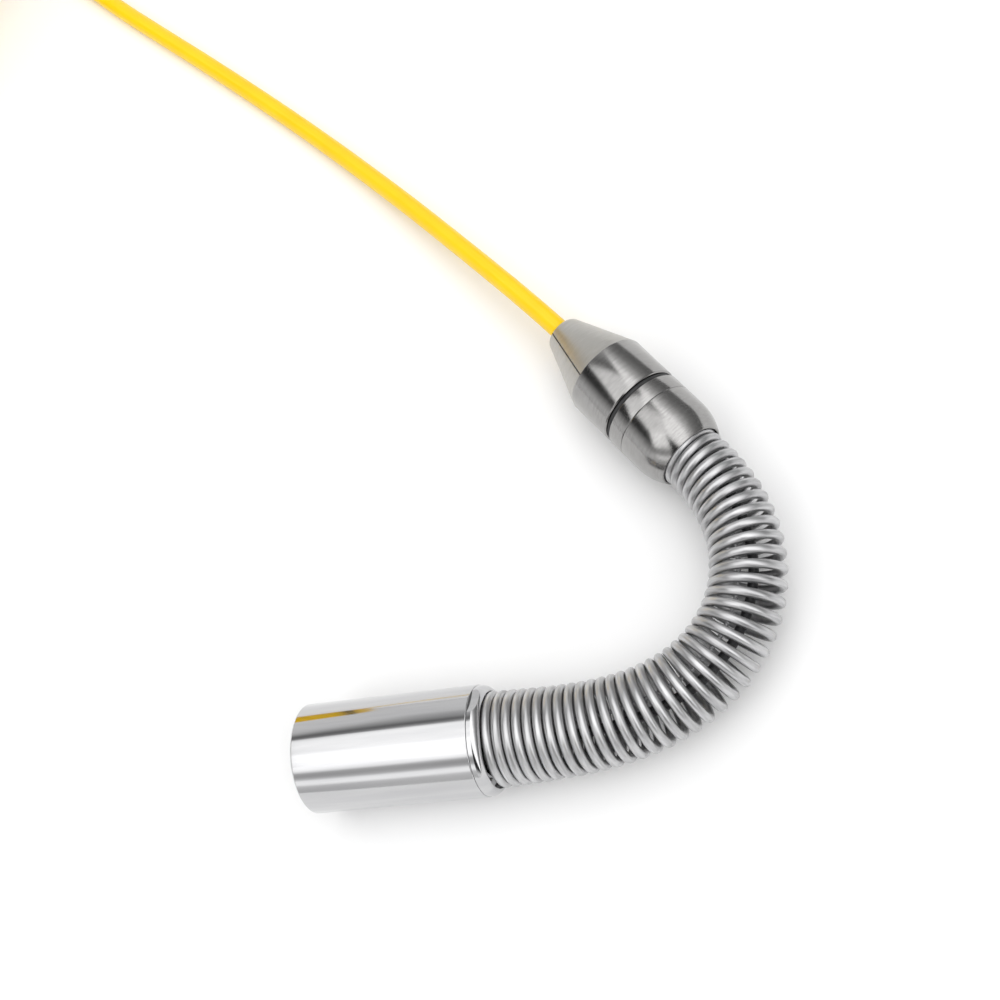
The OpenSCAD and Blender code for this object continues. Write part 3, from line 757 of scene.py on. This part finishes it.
piece("rear_cap_turned", cap_bm, head_place, polished_head, "head", ["rear_cap"],
      sharp=math.radians(14))

# %% [markdown]
# ## Lamps round the lens
# Each lamp is a small white package with a yellow phosphor square set into its face. A cube
# is inset on its front face and the new face is pushed in, and the whole ring of lamps is
# one mesh.

# %% Lamps
WINDOW_BACK_X = FRONT_X - LIP - 0.4 - 2.5
BOARD_FRONT_X = WINDOW_BACK_X - 2.5
LAMP_W, LAMP_DEEP, LAMP_COUNT = 2.6, 1.1, 10
lamp_ring_r = (4.9 + OPENING_R) / 2
lamp_bm = bmesh.new()
for i in range(LAMP_COUNT):
    block = bmesh.ops.create_cube(lamp_bm, size=1.0)["verts"]
    lay = (
        Matrix.Rotation(math.tau * i / LAMP_COUNT, 4, "X")
        @ Matrix.Translation((BOARD_FRONT_X + LAMP_DEEP / 2, 0, lamp_ring_r))
        @ Matrix.Diagonal((LAMP_DEEP, LAMP_W, LAMP_W, 1.0))
    )
    bmesh.ops.transform(lamp_bm, matrix=lay, verts=block)
bmesh.ops.recalc_face_normals(lamp_bm, faces=lamp_bm.faces)
fronts = [f for f in lamp_bm.faces if f.normal.x > 0.9]
bmesh.ops.inset_individual(lamp_bm, faces=fronts, thickness=0.35, depth=0.0)
bmesh.ops.inset_individual(lamp_bm, faces=fronts, thickness=0.08, depth=-0.18)
for face in fronts:
    face.material_index = 1
piece("lamp_packages", lamp_bm, head_place, [lamp_body, lamp_phosphor], "head", ["lamps"])

# %% [markdown]
# ## Wire made from a line
# A small Geometry Nodes tree turns a line of points into round wire. Because the tree runs
# after the spring's line has been bent, the wire stays round and equally thick through the
# bend. It also keeps two things for the finish: how far along the wire a point is, and
# where it is on the wire's rim, so that drawn streaks can follow the wire.

# %% Wire maker
STREAK_ROUND, STREAK_ALONG = 1.6, 170.0


def wire_tree(name, radius, sides, finish):
    tree = bpy.data.node_groups.new(name, "GeometryNodeTree")
    tree.interface.new_socket("Geometry", in_out="INPUT", socket_type="NodeSocketGeometry")
    tree.interface.new_socket("Geometry", in_out="OUTPUT", socket_type="NodeSocketGeometry")
    nodes, links = tree.nodes, tree.links
    given, out = nodes.new("NodeGroupInput"), nodes.new("NodeGroupOutput")
    line = nodes.new("GeometryNodeMeshToCurve")
    rim = nodes.new("GeometryNodeCurvePrimitiveCircle")
    rim.inputs["Resolution"].default_value = sides
    rim.inputs["Radius"].default_value = radius
    where = nodes.new("GeometryNodeInputPosition")
    keep_rim = nodes.new("GeometryNodeStoreNamedAttribute")
    keep_rim.data_type, keep_rim.domain = "FLOAT_VECTOR", "POINT"
    keep_rim.inputs["Name"].default_value = "rim"
    thicken = nodes.new("GeometryNodeCurveToMesh")
    thicken.inputs["Fill Caps"].default_value = True
    read = {}
    for label, kind in (("along", "FLOAT"), ("rim", "FLOAT_VECTOR")):
        read[label] = nodes.new("GeometryNodeInputNamedAttribute")
        read[label].data_type = kind
        read[label].inputs["Name"].default_value = label
    split = nodes.new("ShaderNodeSeparateXYZ")
    join = nodes.new("ShaderNodeCombineXYZ")
    links.new(read["rim"].outputs["Attribute"], split.inputs[0])
    for axis, source in (("X", split.outputs["X"]), ("Y", split.outputs["Y"])):
        grow = nodes.new("ShaderNodeMath")
        grow.operation = "MULTIPLY"
        grow.inputs[1].default_value = STREAK_ROUND / radius
        links.new(source, grow.inputs[0])
        links.new(grow.outputs[0], join.inputs[axis])
    slow = nodes.new("ShaderNodeMath")
    slow.operation = "MULTIPLY"
    slow.inputs[1].default_value = STREAK_ALONG
    links.new(read["along"].outputs["Attribute"], slow.inputs[0])
    links.new(slow.outputs[0], join.inputs["Z"])
    keep_grain = nodes.new("GeometryNodeStoreNamedAttribute")
    keep_grain.data_type, keep_grain.domain = "FLOAT_VECTOR", "POINT"
    keep_grain.inputs["Name"].default_value = "grain"
    smooth = nodes.new("GeometryNodeSetShadeSmooth")
    paint = nodes.new("GeometryNodeSetMaterial")
    paint.inputs["Material"].default_value = finish
    links.new(given.outputs[0], line.inputs["Mesh"])
    links.new(rim.outputs["Curve"], keep_rim.inputs["Geometry"])
    links.new(where.outputs["Position"], keep_rim.inputs["Value"])
    links.new(line.outputs["Curve"], thicken.inputs["Curve"])
    links.new(keep_rim.outputs["Geometry"], thicken.inputs["Profile Curve"])
    links.new(thicken.outputs["Mesh"], keep_grain.inputs["Geometry"])
    links.new(join.outputs["Vector"], keep_grain.inputs["Value"])
    links.new(keep_grain.outputs["Geometry"], smooth.inputs["Geometry"])
    links.new(smooth.outputs["Geometry"], paint.inputs["Geometry"])
    links.new(paint.outputs["Geometry"], out.inputs[0])
    return tree


def line_piece(name, lines, tree, finish, stands_for):
    bm = bmesh.new()
    along = bm.verts.layers.float.new("along")
    for points, start in lines:
        last, reach = None, start
        for point in points:
            vert = bm.verts.new(point)
            if last:
                reach += (vert.co - last.co).length
                bm.edges.new((last, vert))
            vert[along] = reach
            last = vert
    mesh = bpy.data.meshes.new(name)
    bm.to_mesh(mesh)
    bm.free()
    obj = bpy.data.objects.new(name, mesh)
    scene.collection.objects.link(obj)
    mesh.materials.append(finish)
    thick = obj.modifiers.new("wire", "NODES")
    thick.node_group = tree
    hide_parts(*stands_for)
    return obj


spring_tree = wire_tree("spring_wire", WIRE_R * MM, 16, spring_steel)
LEAD_R, STRAND_R = 1.25, 0.24
lead_tree = wire_tree("lead_sheath", LEAD_R * MM, 16, cable_black)
strand_tree = wire_tree("safety_strand", STRAND_R * MM, 8, inner_steel)
print("wire trees:", len(bpy.data.node_groups))

# %% [markdown]
# ## The spring, turn by turn
# The spring has twelve small joints, three turns apart. Each turn of wire is one piece,
# cut at the outer side of the bend.

# %% Spring turns
LINK_TURNS, LINKS, CUT_AT = 3, 11, 0.9
TURN_CUTS = 64
link_nodes = ["spring_rear_turns"] + [f"spring_turns_{i:02d}" for i in range(1, LINKS + 1)]
link_nodes += ["spring_front_turns"]
wire_per_turn = math.hypot(PITCH, math.tau * REAR_MID_R) * MM


def wire_run(first, last):
    count = max(2, round((last - first) * TURN_CUTS))
    return [wire_point(first + (last - first) * i / count) for i in range(count + 1)]


turn_number = 0
rear = line_piece("spring_wire_rear", [(wire_run(-2.0, CUT_AT + 0.02), 0.0)], spring_tree,
                  spring_steel, ["spring_rear_turns"])
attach(rear, "camera_side")
for joint in range(LINKS + 1):
    for part in range(LINK_TURNS):
        first = CUT_AT + LINK_TURNS * joint + part
        stands = link_nodes[joint] if part < 2 else link_nodes[joint + 1]
        turn_number += 1
        turn = line_piece(
            f"spring_wire_turn_{turn_number:02d}",
            [(wire_run(first, first + 1.0), first * wire_per_turn)],
            spring_tree, spring_steel, [stands],
        )
        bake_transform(turn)
front_first = CUT_AT + LINK_TURNS * (LINKS + 1)
front = line_piece("spring_wire_front", [(wire_run(front_first - 0.02, TURNS + 0.62), 0.0)],
                   spring_tree, spring_steel, ["spring_front_turns"])
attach(front, "head")
print("spring pieces:", turn_number + 2)

# %% [markdown]
# ## The lead and the safety wire
# Inside the spring run a black signal lead and a thin twisted steel wire that holds the head
# if the spring breaks. They are cut into the same twelve stretches. The steel wire is seven
# strands: six twisted round one.

# %% Lead and safety wire
LEAD_SIDE, SAFETY_SIDE, STRAND_TURN, STRAND_LAY_R = 1.2, -2.2, 150.0, 0.36
lead_ends = (-3.5, TURNS + (BARREL_X + 5.8) / PITCH)
safety_ends = (-1.0, TURNS - 7.2 / PITCH)


def inner_run(side, first, last, twist_r=0.0, twist=0.0):
    count = max(2, round((last - first) * 10))
    points = []
    for i in range(count + 1):
        turn = first + (last - first) * i / count
        t = math.radians(STRAND_TURN * turn + twist)
        points.append(beside(turn, side + twist_r * math.cos(t), twist_r * math.sin(t)))
    return points


def inner_piece(name, kind, first, last):
    if kind == "lead":
        lines = [(inner_run(LEAD_SIDE, first, last), 0.0)]
        return line_piece(name, lines, lead_tree, cable_black, ["signal_lead"])
    lines = [(inner_run(SAFETY_SIDE, first, last), 0.0)]
    lines += [(inner_run(SAFETY_SIDE, first, last, STRAND_LAY_R, 60 * k), 0.0) for k in range(6)]
    return line_piece(name, lines, strand_tree, inner_steel, ["safety_wire"])


for kind, ends, side in (("lead", lead_ends, LEAD_SIDE), ("safety", safety_ends, SAFETY_SIDE)):
    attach(inner_piece(f"{kind}_rear", kind, ends[0], CUT_AT), "camera_side")
    for joint in range(LINKS + 1):
        first = CUT_AT + LINK_TURNS * joint
        last = min(first + LINK_TURNS, ends[1])
        if last - first < 0.1:
            continue
        stretch = inner_piece(f"{kind}_stretch_{joint + 1:02d}", kind, first, last)
        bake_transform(stretch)
    if ends[1] > front_first:
        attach(inner_piece(f"{kind}_front", kind, front_first, ends[1]), "head")
print("lead and safety wire made")

# %% [markdown]
# ## Finishes for the solids that stay
# The remaining solids are small inner parts, seen through the window or when the connector
# is undone. Their shapes are right as they are, so each only gets its finish.

# %% Solids that stay
solid_finishes = {
    "front_window": window_glass, "window_seal": black_rubber, "window_ring": black_metal,
    "lamp_board": board_green, "light_shroud": black_plastic, "lens_barrel": black_metal,
    "camera_lens": lens_glass, "lens_mount": black_plastic, "sensor_board": board_green,
    "main_board": board_green, "board_chips": black_plastic, "board_pillars": gold_contact,
    "rear_cap_seal": black_rubber, "lead_gland": black_rubber, "spring_stub": inner_steel,
    "connector_neck": inner_steel, "snap_ring": inner_steel, "pin_insert": pale_insulator,
    "contact_pins": gold_contact, "socket_insert": pale_insulator,
    "contact_sockets": gold_contact, "rod_ferrule": gold_contact, "rod_seal": black_rubber,
}
for node_name, finish in solid_finishes.items():
    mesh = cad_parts[node_name].data
    mesh.materials.clear()
    mesh.materials.append(finish)
print("solids finished:", len(solid_finishes))

# %% [markdown]
# ## The floor
# The part lies on a wide pale floor, which is one flat grid. It belongs to the stage and not
# to the part.

# %% Floor
floor_bm = bmesh.new()
bmesh.ops.create_grid(floor_bm, x_segments=8, y_segments=8, size=4.0)
floor_mesh = bpy.data.meshes.new("studio_floor")
floor_bm.to_mesh(floor_mesh)
floor_bm.free()
floor = bpy.data.objects.new("studio_floor", floor_mesh)
scene.collection.objects.link(floor)
floor_finish = finish_of(
    "studio_floor", ((0.95, 0.95, 0.95), (0.97, 0.97, 0.97)), (0.8, 0.9), 0.0, 3.0
)
floor_mesh.materials.append(floor_finish)
print("floor", floor.name, "on the stage")

# %% [markdown]
# ## Tools for the light
# Polished steel shows only what stands round it, so the light is worked out from the
# direction in which it comes. These small makers join nodes: a sum, how far a direction points
# toward a vector, a soft step, light by the angle round an axis, and a mix of two lights.

# %% Light makers
world = bpy.data.worlds.new("studio")
scene.world = world
world.use_nodes = True
wn, wl = world.node_tree.nodes, world.node_tree.links
wn.clear()
direction = wn.new("ShaderNodeTexCoord").outputs["Generated"]
LIGHT_MAX, LIGHT_LEVEL = 3.0, 0.86


def math_node(kind, a, b=None):
    node = wn.new("ShaderNodeMath")
    node.operation = kind
    for socket, value in zip(node.inputs, (a, b)):
        if value is None:
            continue
        if isinstance(value, (int, float)):
            socket.default_value = value
        else:
            wl.new(value, socket)
    return node.outputs[0]


def toward(vector):
    node = wn.new("ShaderNodeVectorMath")
    node.operation = "DOT_PRODUCT"
    wl.new(direction, node.inputs[0])
    node.inputs[1].default_value = Vector(vector).normalized()
    return node.outputs["Value"]


def ramp(value, start, end, out_start, out_end):
    node = wn.new("ShaderNodeMapRange")
    node.interpolation_type = "SMOOTHSTEP"
    wl.new(value, node.inputs["Value"])
    for label, number in zip(("From Min", "From Max", "To Min", "To Max"),
                             (start, end, out_start, out_end)):
        node.inputs[label].default_value = number
    return node.outputs["Result"]


def around(side, points):
    """Light by the angle round an axis: 0 is toward the side vector, 90 degrees is up."""
    angle = math_node("ARCTAN2", toward((0, 0, 1)), toward(side))
    shade = wn.new("ShaderNodeValToRGB")
    wl.new(math_node("ADD", math_node("DIVIDE", angle, math.tau), 0.25), shade.inputs["Fac"])
    stops = shade.color_ramp.elements
    for number, (degrees, level) in enumerate(points):
        stop = stops[number] if number < 2 else stops.new(1.0)
        stop.position = degrees / 360 + 0.25
        grey = level / LIGHT_MAX
        stop.color = (grey, grey, grey, 1)
    return math_node("MULTIPLY", shade.outputs["Color"], LIGHT_MAX)


def mixed(share, first, second):
    keep = math_node("MULTIPLY", first, math_node("SUBTRACT", 1.0, share))
    return math_node("ADD", keep, math_node("MULTIPLY", second, share))


print("light makers use world:", world.name)

# %% [markdown]
# ## The studio's light
# The world is a pale studio with soft dark flags in it, which give the long dark lines on the
# head and the connector. One list of angles and levels serves the head and one the
# connector, and the direction chooses between them. The camera itself sees a plain world.

# %% Studio light
HEAD_FROM, HEAD_TO, REAR_FROM = (0.02, 0.12), (0.62, 0.68), (0.78, 0.9)
head_axis = (math.cos(head_heading), math.sin(head_heading), 0.0)
head_side = (-math.sin(head_heading), math.cos(head_heading), 0.0)
HEAD_LIGHT = [(-60, 0.8), (5, 0.8), (16, 1.0), (21, 1.75), (28, 1.75), (34, 0.8), (40, 0.6),
              (46, 0.7), (52, 1.8), (60, 2.3), (86, 2.3), (92, 1.9), (120, 1.8), (124, 0.4),
              (129, 0.2), (136, 0.5), (150, 0.9), (168, 1.25), (190, 0.6)]
JOINT_LIGHT = [(-60, 0.3), (15, 0.3), (32, 0.5), (48, 1.2), (62, 2.4), (86, 2.5), (96, 2.0),
               (104, 0.3), (110, 0.03), (138, 0.05), (146, 0.4), (165, 1.1), (200, 0.9)]
over_head = ramp(toward(head_axis), *HEAD_FROM, 0.0, 1.0)
past_head = ramp(toward(head_axis), *HEAD_TO, 1.0, 0.0)
head_share = math_node("MULTIPLY", over_head, past_head)
light = mixed(head_share, around((0, 1, 0), JOINT_LIGHT), around(head_side, HEAD_LIGHT))
light = mixed(ramp(toward((-1, 0, 0)), *REAR_FROM, 0.0, 1.0), light, 1.0)
light = math_node("MULTIPLY", light, LIGHT_LEVEL)
backdrop = wn.new("ShaderNodeBackground")
wl.new(light, backdrop.inputs["Color"])
plain = wn.new("ShaderNodeBackground")
plain.inputs["Color"].default_value = (1, 1, 1, 1)
chooser = wn.new("ShaderNodeMixShader")
wl.new(wn.new("ShaderNodeLightPath").outputs["Is Camera Ray"], chooser.inputs[0])
wl.new(backdrop.outputs[0], chooser.inputs[1])
wl.new(plain.outputs[0], chooser.inputs[2])
world_out = wn.new("ShaderNodeOutputWorld")
wl.new(chooser.outputs[0], world_out.inputs["Surface"])
scene.view_settings.view_transform = "Standard"
print("light stops:", len(HEAD_LIGHT), "for the head,", len(JOINT_LIGHT), "for the connector")

# %% [markdown]
